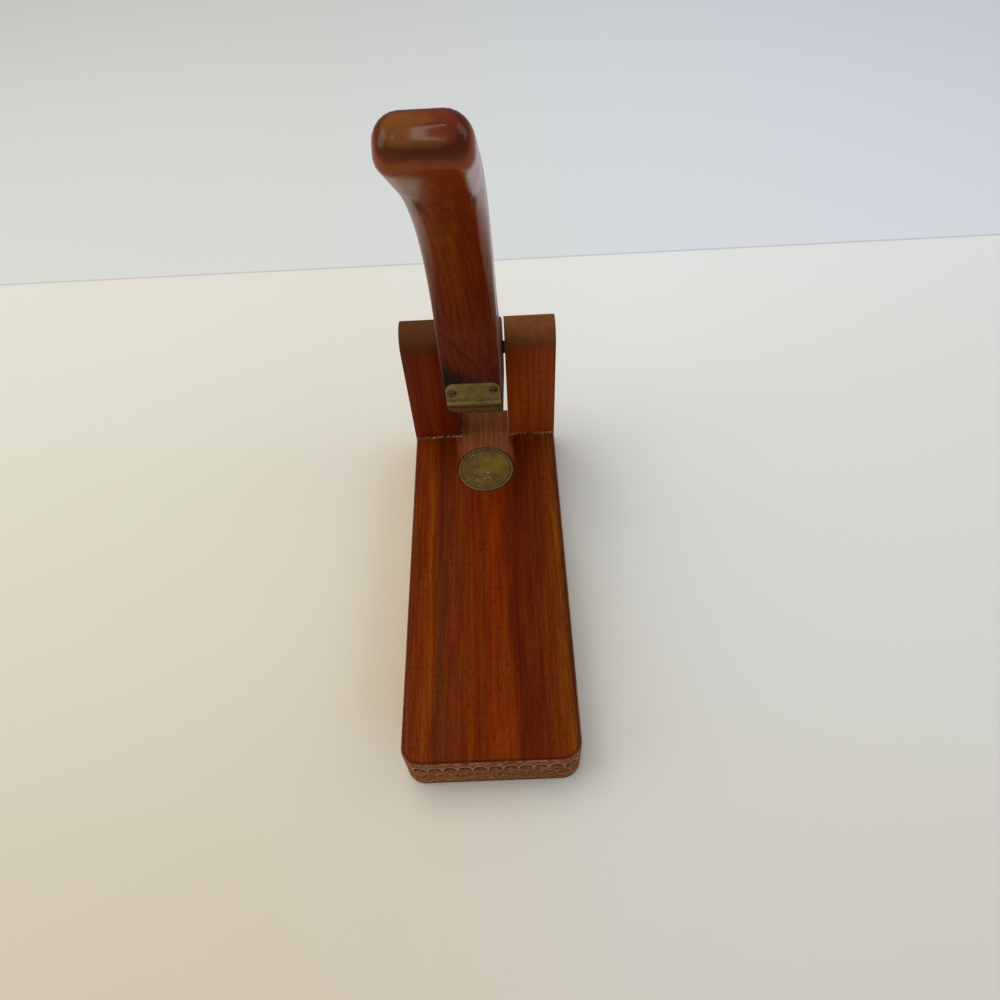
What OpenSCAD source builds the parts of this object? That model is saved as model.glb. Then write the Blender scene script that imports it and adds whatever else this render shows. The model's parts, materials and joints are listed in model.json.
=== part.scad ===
// Lever nutcracker press: a hardwood base board, two cheeks let into its rear
// corners, and a bent hardwood lever that turns on a pin between them. A brass
// shoe on the lever's nose presses the nut on a brass disc let into the base.
// Millimetres. Origin: centre of the base's underside. +Z up, -Y to the user.

/* [Base board] */
// Width of the base board
base_w = 76.2; // [70:0.1:90]
// Length of the base board, front edge to rear edge
base_len = 199; // [185:1:230]
// Thickness of the base board
base_t = 25.4; // [20:0.1:35]
// Radius of the two front corners, seen from above
corner_r = 8.6; // [5:0.1:15]
// Rounding of the top arris
base_edge_r = 2.5; // [1:0.1:4]
// Rounding of the bottom arris
base_foot_r = 1; // [0.4:0.1:2]

/* [Cheeks] */
// Width of each cheek, across the base
cheek_w = 25; // [18:0.1:27]
// Depth of each cheek, along the base
cheek_d = 19; // [16:0.1:26]
// Height of each cheek's rounded top above the base
cheek_h = 71.2; // [66:0.1:85]
// Glue line between a cheek and its notch
glue_line = 0.1; // [0.05:0.05:0.2]

/* [Pivot] */
// Height of the pivot above the top of the base
pivot_h = 54.5; // [50:0.1:60]
// Diameter of the steel pivot pin
pin_d = 6.3; // [4:0.1:8]
// Radial clearance of the pin in the lever's bore
pin_running = 0.06; // [0.02:0.01:0.1]
// Radial clearance of the pin in the cheeks, where it is fixed
pin_fixed = 0.02; // [0.01:0.01:0.03]
// How far each end of the pin lies below the side of its cheek
pin_sunk = 0.5; // [0:0.1:2]

/* [Lever] */
// Mean play between the lever and each cheek
lever_play = 0.95; // [0.8:0.05:2]
// Radius of the lever's eye about the pivot
eye_r = 15; // [12:0.5:18]
// Distance from the pivot forward to the lever's flat front face
nose_reach = 60; // [55:0.5:66]
// Height of the shoe's ridge above the pivot, with the lever up
ridge_h = 21.5; // [18:0.5:26]
// Height above the pivot where the handle starts to curve
curve_start = 60; // [55:1:80]
// Radius of the handle's curved front face
curve_r = 108; // [90:1:140]
// Angle through which the handle curves forward
curve_angle = 50; // [30:1:55]
// Straight length beyond the curve, to the handle's end
tip_len = 37; // [20:1:50]
// Thickness of the handle where it leaves the neck
grip_t = 21; // [18:0.5:24]
// Thickness of the handle at its end
tip_t = 13.9; // [13.5:0.1:18]
// Rounding of the arrises along the grip's front
grip_front_r = 4.6; // [2:0.1:4.8]
// Rounding of the arrises along the grip's back
grip_back_r = 7.8; // [2:0.1:8]
// Rounding of the arrises on the neck and eye
neck_edge_r = 0.9; // [0.4:0.1:1.5]
// Angle by which the lever points to the left of square
lever_skew = 0.9; // [0:0.1:1.5]
// Angle by which the lever leans over to the left
lever_lean = 0.5; // [0:0.1:1]

/* [Brass shoe] */
// Thickness of the brass strip
shoe_t = 1.6; // [1:0.1:2]
// Bare wood left on each side of the strip
shoe_margin = 0.5; // [0.2:0.1:1]
// Height of the strip's upper leg above the ridge
shoe_leg = 12.8; // [11:0.1:16]
// Length of the strip's pressing face below the ridge
press_len = 16; // [12:0.5:20]
// Slope of the pressing face below the horizontal, with the lever up
press_slope = 60; // [50:1:70]
// Outer radius of the bend at the ridge
bend_r = 5; // [2.2:0.1:6]
// Radius of the strip's upper corners
shoe_top_r = 2.7; // [1:0.1:4]
// Radius of the strip's lower left corner
shoe_low_left_r = 6; // [1:0.1:8]
// Radius of the strip's lower right corner
shoe_low_right_r = 2; // [1:0.1:8]
// Gap between the strip and the wood that it is let into
shoe_gap = 0.05; // [0.02:0.01:0.1]

/* [Brass disc] */
// Diameter of the brass disc in the base
disc_d = 29.2; // [20:0.1:36]
// Thickness of the disc at its rim
disc_t = 2; // [1.5:0.1:3]
// Distance from the cheeks' front face forward to the disc's centre
disc_ahead = 24.6; // [22:0.1:40]
// Radial gap round the disc
disc_gap = 0.6; // [0.1:0.1:0.9]
// How far the disc's rim stands above the base
disc_proud = 0.2; // [0:0.1:0.6]
// Width of the disc's raised rim
rim_w = 1.2; // [0.8:0.1:2]
// Height of the rim above the disc's field
rim_h = 0.25; // [0.1:0.05:0.5]

/* [Screws] */
// Head diameter of the shoe's screws
shoe_screw_head = 3.8; // [3:0.1:5]
// Shank diameter of the shoe's screws
shoe_screw_shank = 2; // [1.6:0.1:2.6]
// Length of the shoe's screws
shoe_screw_len = 11; // [8:0.5:14]
// Distance of the shoe's screws from the strip's side edges
shoe_screw_in = 2.85; // [2.5:0.05:5]
// Height of the shoe's left screw above the ridge
shoe_screw_up = 7; // [5.5:0.1:8]
// How much higher the shoe's right screw stands
shoe_screw_step = 1.4; // [0:0.1:1.5]
// Head diameter of the cheeks' screws
cheek_screw_head = 8; // [7:0.1:9]
// Shank diameter of the cheeks' screws
cheek_screw_shank = 4.2; // [3.5:0.1:5]
// Length of the cheeks' screws
cheek_screw_len = 38; // [30:1:50]
// Height of a cheek's lower screw above the underside
cheek_screw_low = 7; // [6:0.1:9]
// Height of a cheek's upper screw above the underside
cheek_screw_high = 18; // [16:0.1:20]
// Clearance round a screw's shank and head in the wood or brass
screw_clear = 0.05; // [0.02:0.01:0.1]

/* [Hidden] */

LEFT = -1;
RIGHT = 1;
ROUND = 64;                 // facets of a turned surface
ARC_STEPS = 4;              // steps of a rounded arris
CURVE_STEPS = 9;            // steps of the handle's curve
TIP_STEPS = 2;              // points along the handle's straight end
EYE_STEPS = 11;             // steps of each half of the lever's eye
CORNER_STEPS = 6;           // steps of a corner of the handle's end
BEND_STEPS = 6;             // steps of the shoe's bend
HEEL_STEPS = 4;             // steps of the round behind the shoe
UNDER_STEPS = 8;            // steps of the neck's underside
FACE_STEPS = 2;             // steps of the flat front face above the shoe
BOARD_STEPS = 8;            // steps of the base board's front corners
through = 1;                // how far a cutter runs past the face it opens

half_w = base_w / 2;
half_len = base_len / 2;
cheek_x = half_w - cheek_w / 2;
cheek_y = half_len - cheek_d / 2;
cheek_top_r = cheek_d / 2;
cheek_front = half_len - cheek_d;
pin_r = pin_d / 2;
pivot_y = cheek_y;
pivot_z = base_t + pivot_h;
disc_y = cheek_front - disc_ahead;
disc_r = disc_d / 2;
lever_w = base_w - 2 * cheek_w - 2 * lever_play;
shoe_w = lever_w - 2 * shoe_margin;

// The lever's side view, in its own frame: the pivot at 0, the first number
// backwards and the second upwards, so that the front face is at -nose_reach.
curve_centre = [-nose_reach - curve_r, curve_start];
curve_end = curve_centre + curve_r * [cos(curve_angle), sin(curve_angle)];
tip_dir = [-sin(curve_angle), cos(curve_angle)];
tip_front = curve_end + tip_len * tip_dir;
tip_out = [cos(curve_angle), sin(curve_angle)];
tip_back = tip_front + tip_t * tip_out;
ridge = [-nose_reach, ridge_h];
press_dir = [cos(press_slope), -sin(press_slope)];
press_end = ridge + press_len * press_dir;
face_len = curve_r * curve_angle * PI / 180 + tip_len;
eye_under = -115;           // where the underside runs into the eye, in degrees
eye_over = 68;              // where the eye runs into the back of the neck
end_front_r = 7;            // rounding of the handle's end into its front face
end_back_r = 5.5;           // rounding of the handle's end into its back
heel_r = 3;                 // rounding behind the pressing face

// Points along an arc, from angle a0 to angle a1
function arc(centre, r, a0, a1, steps) =
    [for (i = [0:steps]) let (a = a0 + (a1 - a0) * i / steps) centre + r * [cos(a), sin(a)]];

// Points along a cubic curve that leaves p0 towards p1 and reaches p3 from p2
function blend(p0, p1, p2, p3, steps) =
    [for (i = [0:steps]) let (t = i / steps, s = 1 - t)
        s * s * s * p0 + 3 * s * s * t * p1 + 3 * s * t * t * p2 + t * t * t * p3];

// A direction in the side view, by its angle
function along(a) = [cos(a), sin(a)];

// An outline's inward normal at point i. The outline runs anticlockwise.
function inward(outline, i) =
    let (n = len(outline), d = outline[(i + 1) % n] - outline[(i + n - 1) % n])
    [-d[1], d[0]] / norm(d);

// The outline drawn in by each point's own arris, at angle a round it
function drawn_in(outline, arris, a) =
    [for (i = [0:len(outline) - 1]) outline[i] + arris[i] * (1 - cos(a)) * inward(outline, i)];

// A slab of an outline, with a rounded arris above and below. Each point of the
// outline has its own radii, so the rounding can swell and fade along it. The
// outline's first half runs up one side and its second half back down the other,
// point for point, so that each flat face is a ladder between the two.
module rounded_slab(outline, thick, low_arris, top_arris) {
    n = len(outline);
    angles = [for (k = [0:ARC_STEPS]) 90 * k / ARC_STEPS];
    low_rings = [for (k = [ARC_STEPS:-1:0]) let (ring = drawn_in(outline, low_arris, angles[k]))
        [for (i = [0:n - 1]) [ring[i][0], ring[i][1], low_arris[i] * (1 - sin(angles[k]))]]];
    top_rings = [for (k = [0:ARC_STEPS]) let (ring = drawn_in(outline, top_arris, angles[k]))
        [for (i = [0:n - 1]) [ring[i][0], ring[i][1], thick - top_arris[i] * (1 - sin(angles[k]))]]];
    rings = concat(low_rings, top_rings);
    top = (len(rings) - 1) * n;
    rungs = [for (i = [0:n / 2 - 2]) [i, i + 1, n - 2 - i, n - 1 - i]];
    polyhedron(
        points = [for (ring = rings) for (p = ring) p],
        faces = concat(
            [for (q = rungs) [q[0], q[1], q[2]]],
            [for (q = rungs) [q[0], q[2], q[3]]],
            [for (q = rungs) [top + q[0], top + q[2], top + q[1]]],
            [for (q = rungs) [top + q[0], top + q[3], top + q[2]]],
            [for (j = [0:len(rings) - 2]) for (i = [0:n - 1])
                [j * n + i, (j + 1) * n + i, (j + 1) * n + (i + 1) % n]],
            [for (j = [0:len(rings) - 2]) for (i = [0:n - 1])
                [j * n + i, (j + 1) * n + (i + 1) % n, j * n + (i + 1) % n]]));
}

// A countersunk slotted wood screw along -Z, its head's face at 0
module wood_screw(head, shank, length) {
    head_h = (head - shank) / 2;
    slot_w = head * 0.14;
    slot_d = head_h * 0.5;
    point_h = shank * 1.4;
    difference() {
        rotate_extrude($fn = ROUND)
            polygon([[0, 0], [head / 2, 0], [shank / 2, -head_h],
                     [shank / 2, point_h - length], [0, -length]]);
        translate([-head, -slot_w / 2, -slot_d])
            cube([2 * head, slot_w, slot_d + through]);
    }
}

// The hole that such a screw fills
module screw_hole(head, shank, length) {
    head_r = head / 2 + screw_clear;
    shank_r = shank / 2 + screw_clear;
    translate([0, 0, -length - screw_clear])
        cylinder(r = shank_r, h = length + through, $fn = ROUND);
    translate([0, 0, shank_r - head_r])
        cylinder(r1 = shank_r, r2 = head_r, h = head_r - shank_r, $fn = ROUND);
    cylinder(r = head_r, h = through, $fn = ROUND);
}

// Places a screw of a cheek in its rear face, from behind
module cheek_screw_place(side, z) {
    translate([side * cheek_x, half_len, z]) rotate([-90, 0, 0]) children();
}

module cheek_screw(side, z) {
    color("dimgray")
        cheek_screw_place(side, z)
            wood_screw(cheek_screw_head, cheek_screw_shank, cheek_screw_len);
}

module cheek_screw_holes(side) {
    for (z = [cheek_screw_low, cheek_screw_high])
        cheek_screw_place(side, z)
            screw_hole(cheek_screw_head, cheek_screw_shank, cheek_screw_len);
}

// The base's outline seen from above: square behind, round corners in front
base_outline = concat(
    [[-half_w, half_len]],
    arc([-half_w + corner_r, -half_len + corner_r], corner_r, 180, 270, BOARD_STEPS),
    arc([half_w - corner_r, -half_len + corner_r], corner_r, 270, 360, BOARD_STEPS),
    [[half_w, half_len]]);

module base_board() {
    color("sienna") difference() {
        base_blank();
        for (side = [LEFT, RIGHT]) {
            cheek_notch(side);
            cheek_screw_holes(side);
        }
        translate([0, disc_y, base_t + disc_proud - disc_t])
            cylinder(r = disc_r + disc_gap, h = disc_t + through, $fn = 2 * ROUND);
    }
}

module base_blank() {
    n = len(base_outline);
    rounded_slab(base_outline, base_t, [for (i = [1:n]) base_foot_r],
                 [for (i = [1:n]) base_edge_r]);
}

// The notch that a cheek is let into, open at the side and behind
module cheek_notch(side) {
    notch_w = cheek_w + glue_line;
    notch_d = cheek_d + glue_line;
    translate([side * (half_w - notch_w / 2 + through / 2), half_len - notch_d / 2 + through / 2,
               base_t / 2])
        cube([notch_w + through, notch_d + through, base_t + 2 * through], center = true);
}

// An upright post with a half-round top, drilled for the pin
module cheek(side) {
    color("saddlebrown") difference() {
        union() {
            translate([side * cheek_x - cheek_w / 2, cheek_front, 0])
                cube([cheek_w, cheek_d, base_t + cheek_h - cheek_top_r]);
            translate([side * cheek_x - cheek_w / 2, cheek_y, base_t + cheek_h - cheek_top_r])
                rotate([0, 90, 0]) cylinder(r = cheek_top_r, h = cheek_w, $fn = 2 * ROUND);
        }
        translate([side * cheek_x - cheek_w, pivot_y, pivot_z]) rotate([0, 90, 0])
            cylinder(r = pin_r + pin_fixed, h = 2 * cheek_w, $fn = ROUND);
        cheek_screw_holes(side);
    }
}

// A disc with a low raised rim, turned
module anvil_disc() {
    bevel = 0.2;
    color("darkkhaki") translate([0, disc_y, base_t + disc_proud - disc_t])
        rotate_extrude($fn = 2 * ROUND)
            polygon([[0, 0], [disc_r, 0], [disc_r, disc_t - bevel], [disc_r - bevel, disc_t],
                     [disc_r - rim_w, disc_t], [disc_r - rim_w - rim_h, disc_t - rim_h],
                     [0, disc_t - rim_h]]);
}

module pivot_pin() {
    bevel = 0.4;
    length = base_w - 2 * pin_sunk;
    color("dimgray") translate([-length / 2, pivot_y, pivot_z]) rotate([0, 90, 0])
        rotate_extrude($fn = ROUND)
            polygon([[0, 0], [pin_r - bevel, 0], [pin_r, bevel], [pin_r, length - bevel],
                     [pin_r - bevel, length], [0, length]]);
}

// The lever's own frame, at the pivot. The lever stands a little out of square
// with its bore, as it was drilled by hand.
module lever_place() {
    translate([0, pivot_y, pivot_z]) rotate([0, -lever_lean, -lever_skew]) children();
}

// Turns a side view, backwards and upwards, to lie across the lever's width
module across(width) {
    rotate([90, 0, 90]) translate([0, 0, -width / 2]) linear_extrude(width) children();
}

// Thickness of the handle at a length s along its front face, from the curve's start
function handle_t(s) = grip_t + (tip_t - grip_t) * s / (face_len - end_back_r);

// The face and the back of the handle at step i of its curve, and of its straight end
function curve_angle_at(i) = curve_angle * i / CURVE_STEPS;
function tip_run_at(i) = (tip_len - end_front_r) * i / (TIP_STEPS + 1);
function curve_point(i, t) = curve_centre + (curve_r + t) * along(curve_angle_at(i));
function curve_back(i) = curve_point(i, handle_t(curve_r * curve_angle_at(i) * PI / 180));
function tip_back_at(i) = curve_end + tip_run_at(i) * tip_dir
    + handle_t(face_len - tip_len + tip_run_at(i)) * tip_out;

// The round behind the pressing face, and the underside of the neck
under_stop = eye_r * along(eye_under);
under_dir = (under_stop - press_end) / norm(under_stop - press_end);
heel = blend(press_end - heel_r * press_dir, press_end, press_end,
             press_end + heel_r * under_dir, HEEL_STEPS);
under_lead = 16;
underside = blend(press_end + heel_r * under_dir, press_end + under_lead * under_dir,
                  under_stop - under_lead * along(eye_under + 90), under_stop, UNDER_STEPS);

// The lever's nose, down its flat face, round the ridge and heel and back to the eye
shoe_clear = 2;             // how far above the shoe the flat face is divided
above_shoe = ridge_h + shoe_leg + shoe_clear;
nose = concat(
    [for (i = [FACE_STEPS:-1:0])
        [-nose_reach, above_shoe + (curve_start - above_shoe) * i / FACE_STEPS]],
    [ridge], heel, [for (i = [1:UNDER_STEPS - 1]) underside[i]]);

// The back of the neck, a long hollow curve from the eye into the handle
neck_start = eye_r * along(eye_over);
neck_stop = curve_back(1);
neck_rise = (curve_back(2) - neck_stop) / norm(curve_back(2) - neck_stop);
neck_steps = len(nose) + 1;
neck_lead = 24;
handle_lead = 26;
neck_back = blend(neck_start, neck_start + neck_lead * along(eye_over + 90),
                  neck_stop - handle_lead * neck_rise, neck_stop, neck_steps);

// The eye, in two halves that meet behind the pivot
eye_split = (eye_under + eye_over) / 2;
eye_step = (eye_over - eye_split) / (EYE_STEPS + 0.5);
eye_upper = [for (i = [0:EYE_STEPS]) eye_r * along(eye_split + (i + 0.5) * eye_step)];
eye_lower = [for (i = [EYE_STEPS:-1:0]) eye_r * along(eye_split - (i + 0.5) * eye_step)];

// The handle's end, two rounded corners with a slightly domed face between
dome = 8;                   // how far each corner stops short of a quarter turn
back_corner = arc(tip_back - end_back_r * (tip_out + tip_dir), end_back_r,
                  curve_angle, curve_angle + 90 - dome, CORNER_STEPS);
front_corner = arc(tip_front + end_front_r * (tip_out - tip_dir), end_front_r,
                   curve_angle + 90 + dome, curve_angle + 180, CORNER_STEPS);

back_side = concat(
    eye_upper, [for (i = [1:neck_steps - 1]) neck_back[i]],
    [for (i = [1:CURVE_STEPS]) curve_back(i)], [for (i = [1:TIP_STEPS]) tip_back_at(i)],
    back_corner);
front_side = concat(
    front_corner, [for (i = [TIP_STEPS:-1:1]) curve_end + tip_run_at(i) * tip_dir],
    [for (i = [CURVE_STEPS:-1:1]) curve_point(i, 0)], nose, eye_lower);
lever_outline = concat(back_side, front_side);

// The arris at a point of the lever's side view: slight on the neck, full on the
// grip, and swelling from one to the other between two heights up the handle
fade_low = 45;
fade_high = 115;
function lever_arris(p, grip_r) =
    let (f = min(1, max(0, (p[1] - fade_low) / (fade_high - fade_low))))
    neck_edge_r + (grip_r - neck_edge_r) * f * f * (3 - 2 * f);

// Round the end's back corner the arris passes from the back's radius to the front's
function corner_arris(i) = grip_back_r + (grip_front_r - grip_back_r) * i / CORNER_STEPS;
back_run = len(back_side) - len(back_corner);
lever_edges = concat(
    [for (i = [0:back_run - 1]) lever_arris(back_side[i], grip_back_r)],
    [for (i = [0:CORNER_STEPS]) corner_arris(i)],
    [for (p = front_side) lever_arris(p, grip_front_r)]);

// The strip's side view grown by a gap, for the strip itself with none, or for
// the rebate it is let into. The rebate runs out past the wood by extra.
module shoe_profile(gap, extra) {
    inner = shoe_t + gap;
    top = ridge_h + shoe_leg + gap;
    press_out = [-sin(press_slope), -cos(press_slope)];
    turn = 90 - press_slope;
    bend_rise = tan(turn / 2);
    bend_centre = ridge + bend_r * [1, bend_rise];
    low_end = press_end + gap * press_dir;
    polygon(concat(
        [[-nose_reach - extra, top], [-nose_reach + inner, top]],
        arc(bend_centre, bend_r - inner, 180, 180 + turn, BEND_STEPS),
        [low_end - inner * press_out, low_end + extra * press_out],
        extra > 0 ? [ridge - extra * [1, bend_rise]]
                  : arc(bend_centre, bend_r, 180 + turn, 180, BEND_STEPS)));
}

module lever() {
    color("saddlebrown") difference() {
        lever_place() difference() {
            rotate([90, 0, 90]) translate([0, 0, -lever_w / 2])
                rounded_slab(lever_outline, lever_w, lever_edges, lever_edges);
            across(lever_w + 2 * through) shoe_profile(shoe_gap, through);
            for (side = [LEFT, RIGHT])
                shoe_screw_place(side)
                    screw_hole(shoe_screw_head, shoe_screw_shank, shoe_screw_len);
        }
        translate([-lever_w, pivot_y, pivot_z]) rotate([0, 90, 0])
            cylinder(r = pin_r + pin_running, h = 2 * lever_w, $fn = ROUND);
    }
}

// Cuts a strip's corner to a quarter round, the corner at 0 and the strip
// towards +X and -Z
module corner_cutter(r) {
    rotate([90, 0, 0]) linear_extrude(4 * bend_r, center = true) difference() {
        translate([-through, -r]) square([r + through, r + through]);
        translate([r, -r]) circle(r = r, $fn = ROUND);
    }
}

// A strip bent round the nose, screwed to the front face
module lever_shoe() {
    color("darkkhaki") lever_place() difference() {
        across(shoe_w) shoe_profile(0, 0);
        for (side = [LEFT, RIGHT]) mirror([side == RIGHT ? 1 : 0, 0, 0]) {
            translate([-shoe_w / 2, -nose_reach, ridge_h + shoe_leg])
                corner_cutter(shoe_top_r);
            translate([-shoe_w / 2, press_end[0], press_end[1]]) rotate([90 - press_slope, 0, 0])
                mirror([0, 0, 1])
                    corner_cutter(side == LEFT ? shoe_low_left_r : shoe_low_right_r);
        }
        for (side = [LEFT, RIGHT])
            shoe_screw_place(side)
                screw_hole(shoe_screw_head, shoe_screw_shank, shoe_screw_len);
    }
}

// Places a screw of the shoe in the front face, from the front
module shoe_screw_place(side) {
    up = shoe_screw_up + (side == RIGHT ? shoe_screw_step : 0);
    translate([side * (shoe_w / 2 - shoe_screw_in), -nose_reach, ridge_h + up])
        rotate([90, 0, 0]) children();
}

module shoe_screw(side) {
    color("dimgray") lever_place() shoe_screw_place(side)
        wood_screw(shoe_screw_head, shoe_screw_shank, shoe_screw_len);
}

base_board();
cheek(LEFT);  // left_cheek
cheek(RIGHT);  // right_cheek
cheek_screw(LEFT, cheek_screw_low);  // left_cheek_screw_lower
cheek_screw(LEFT, cheek_screw_high);  // left_cheek_screw_upper
cheek_screw(RIGHT, cheek_screw_low);  // right_cheek_screw_lower
cheek_screw(RIGHT, cheek_screw_high);  // right_cheek_screw_upper
anvil_disc();
pivot_pin();
lever();
lever_shoe();
shoe_screw(LEFT);  // left_shoe_screw
shoe_screw(RIGHT);  // right_shoe_screw
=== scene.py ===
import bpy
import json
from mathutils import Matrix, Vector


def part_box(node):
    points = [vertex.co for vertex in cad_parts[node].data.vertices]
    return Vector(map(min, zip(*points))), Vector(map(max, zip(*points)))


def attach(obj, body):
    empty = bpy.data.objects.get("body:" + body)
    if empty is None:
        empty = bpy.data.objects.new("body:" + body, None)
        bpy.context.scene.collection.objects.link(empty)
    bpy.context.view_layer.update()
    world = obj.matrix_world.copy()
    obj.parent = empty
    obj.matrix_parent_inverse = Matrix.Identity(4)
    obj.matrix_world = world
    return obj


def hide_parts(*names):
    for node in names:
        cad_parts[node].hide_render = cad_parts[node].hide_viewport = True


bl_info = {
    "name": "Lever nutcracker press",
    "version": (1, 0, 0),
    "blender": (4, 5, 0),
    "location": "View3D > Sidebar > Nutcracker",
    "description": "Dresses a packed lever nutcracker press in varnished hardwood and old brass",
    "category": "Object",
}

import json
import math
import random

import bmesh
import bpy
from mathutils import Matrix, Vector

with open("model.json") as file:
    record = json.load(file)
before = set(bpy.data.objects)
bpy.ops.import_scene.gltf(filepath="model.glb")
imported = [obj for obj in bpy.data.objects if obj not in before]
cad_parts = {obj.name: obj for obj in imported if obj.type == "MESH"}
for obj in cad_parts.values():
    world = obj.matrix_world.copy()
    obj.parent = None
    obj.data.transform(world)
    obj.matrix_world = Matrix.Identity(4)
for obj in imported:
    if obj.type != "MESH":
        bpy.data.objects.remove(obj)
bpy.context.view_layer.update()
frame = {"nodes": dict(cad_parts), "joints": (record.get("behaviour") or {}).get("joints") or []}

MM = 0.001
PIVOT = Vector(frame["joints"][0]["pos_m"])
BASE_LOW, BASE_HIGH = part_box("base_board")
CHEEK_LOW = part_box("right_cheek")[0]
DISC_LOW, DISC_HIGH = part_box("anvil_disc")
DISC_CENTRE = (DISC_LOW + DISC_HIGH) / 2
DISC_RADIUS = (DISC_HIGH.x - DISC_LOW.x) / 2

# The brass strip: half its width, its thickness, and its reach above its ridge and below it.
STRIP_HALF, STRIP_THICK, STRIP_RISE, STRIP_PRESS = 11.65 * MM, 1.6 * MM, 12.8 * MM, 16 * MM
# The way down the strip's pressing face in the side view, in degrees.
PRESS_WAY = -60
# Radii: the pin's bore in the cheeks and in the lever, and the hole of a cheek's screw.
CHEEK_BORE, LEVER_BORE, SCREW_HOLE = 3.17 * MM, 3.21 * MM, 2.15 * MM
# How far a gouge cut's arch is stretched upwards from a half circle.
ARCH_STRETCH = 1.35
# The way that the handle's end faces.
END_WAY = (0.0, -0.55, 0.835)
# Points that are nearer than this lie in one plane.
NEAR = 1e-6


# ---------------------------------------------------------------- colours and sizes


def shade(code):
    """A colour written as sRGB hex, in Blender's linear values."""
    parts = [int(code[i:i + 2], 16) / 255 for i in (1, 3, 5)]
    return tuple(p / 12.92 if p <= 0.04045 else ((p + 0.055) / 1.055) ** 2.4 for p in parts)


def length(name, description, millimetres, low, high):
    return bpy.props.FloatProperty(
        name=name, description=description, default=millimetres * MM, min=low * MM, max=high * MM,
        unit="LENGTH")


def tint(name, description, code):
    return bpy.props.FloatVectorProperty(
        name=name, description=description, default=shade(code), min=0.0, max=1.0, size=3,
        subtype="COLOR")


class PressBoardSettings(bpy.types.PropertyGroup):
    corner_radius: length("Corner radius", "Radius of the board's two front corners", 8.6, 5, 15)
    arris: length("Arris", "Rounding of the board's top arris", 2.5, 1, 4)
    foot: length("Foot", "Rounding of the board's bottom arris", 1.0, 0.4, 2)
    gouge_pitch: length("Gouge pitch", "Distance between two gouge cuts of a row", 6.4, 4, 10)
    gouge_depth: length("Gouge depth", "Depth of a gouge cut at its arched end", 0.8, 0.3, 1.6)
    gouge_radius: length("Gouge radius", "Radius of the gouge that made the cuts", 2.9, 1.5, 4)
    upper_row: length("Upper row", "Height of the arches' centres in the upper row of cuts", 17.0, 14, 19)
    lower_row: length("Lower row", "Height of the arches' centres in the lower row of cuts", 9.2, 6, 12)
    row_phase: bpy.props.FloatProperty(
        name="Row phase", description="Where the rows start, as a share of the pitch",
        default=0.23, min=0.0, max=1.0)
    cheek_arris: length("Cheek arris", "Rounding worn on the cheeks' arrises", 0.6, 0.2, 1.5)


class PressLeverSettings(bpy.types.PropertyGroup):
    width: length("Width", "Width of the lever across its slot", 24.3, 20, 25)
    nose_reach: length("Nose reach", "Distance from the pivot to the lever's front face", 60, 55, 66)
    ridge_height: length("Ridge height", "Height of the shoe's ridge above the pivot", 21.5, 18, 26)
    curve_start: length("Curve start", "Height above the pivot where the handle starts to curve", 60, 55, 80)
    curve_radius: length("Curve radius", "Radius of the handle's curved front face", 108, 90, 140)
    curve_angle: bpy.props.FloatProperty(
        name="Curve angle", description="Angle through which the handle curves forward",
        default=math.radians(50), min=0.5, max=1.0, subtype="ANGLE")
    tip_length: length("Tip length", "Straight length of the handle beyond its curve", 37, 20, 50)
    grip_thickness: length("Grip thickness", "Thickness of the handle where it leaves the neck", 21, 18, 24)
    tip_thickness: length("Tip thickness", "Thickness of the handle at its end", 13.9, 13, 18)
    eye_radius: length("Eye radius", "Radius of the lever's eye about the pin", 15, 12, 18)
    front_arris: length("Front arris", "Rounding along the front of the grip", 4.6, 2, 4.8)
    back_arris: length("Back arris", "Rounding along the back of the grip", 7.8, 2, 8)
    neck_arris: length("Neck arris", "Rounding along the neck and eye", 0.9, 0.4, 1.5)
    skew: bpy.props.FloatProperty(
        name="Skew", description="Angle by which the lever points to the left of square",
        default=math.radians(0.9), min=0.0, max=0.03, subtype="ANGLE")
    lean: bpy.props.FloatProperty(
        name="Lean", description="Angle by which the lever leans over to the left",
        default=math.radians(0.5), min=0.0, max=0.03, subtype="ANGLE")


class PressFinishSettings(bpy.types.PropertyGroup):
    board: tint("Board", "Main colour of the varnished board", "#6d2c01")
    board_streak: tint("Board streak", "Orange streaks of the board", "#7c3a05")
    board_dark: tint("Board dark", "Dark bands of the board", "#5a1e01")
    cheek: tint("Cheek", "Main colour of the cheeks", "#6e2408")
    lever: tint("Lever", "Main colour of the lever", "#6c280a")
    worn: tint("Worn wood", "Wood worn bare of its varnish", "#844c28")
    disc: tint("Disc", "Bright parts of the disc's brass", "#927434")
    shoe: tint("Shoe", "Bright parts of the shoe's brass", "#8c7a3e")
    screws: tint("Screws", "Steel of the screws", "#7c6c4e")


# ---------------------------------------------------------------- working on a mesh


def select_none():
    if bpy.context.object and bpy.context.object.mode != "OBJECT":
        bpy.ops.object.mode_set(mode="OBJECT")
    bpy.ops.object.select_all(action="DESELECT")


def take(piece):
    """Makes a piece the only one selected, and the active one."""
    select_none()
    piece.select_set(True)
    bpy.context.view_layer.objects.active = piece


def named(name):
    """Names the primitive that was just added, and its mesh."""
    piece = bpy.context.object
    piece.name = piece.data.name = name
    return piece


def place_in_mesh(piece):
    """Moves a piece's place into its mesh, so that its object sits at the origin."""
    take(piece)
    bpy.ops.object.transform_apply(location=True, rotation=True, scale=True)


def pick(piece, kind, test):
    """In edit mode, selects the vertices, edges or faces that pass a test, and nothing else."""
    mode = {"verts": "VERT", "edges": "EDGE", "faces": "FACE"}[kind]
    bpy.ops.mesh.select_mode(type=mode)
    bpy.ops.mesh.select_all(action="DESELECT")
    mesh = bmesh.from_edit_mesh(piece.data)
    for part in getattr(mesh, kind):
        if test(part):
            part.select_set(True)
    mesh.select_flush_mode()
    bmesh.update_edit_mesh(piece.data)


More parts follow.
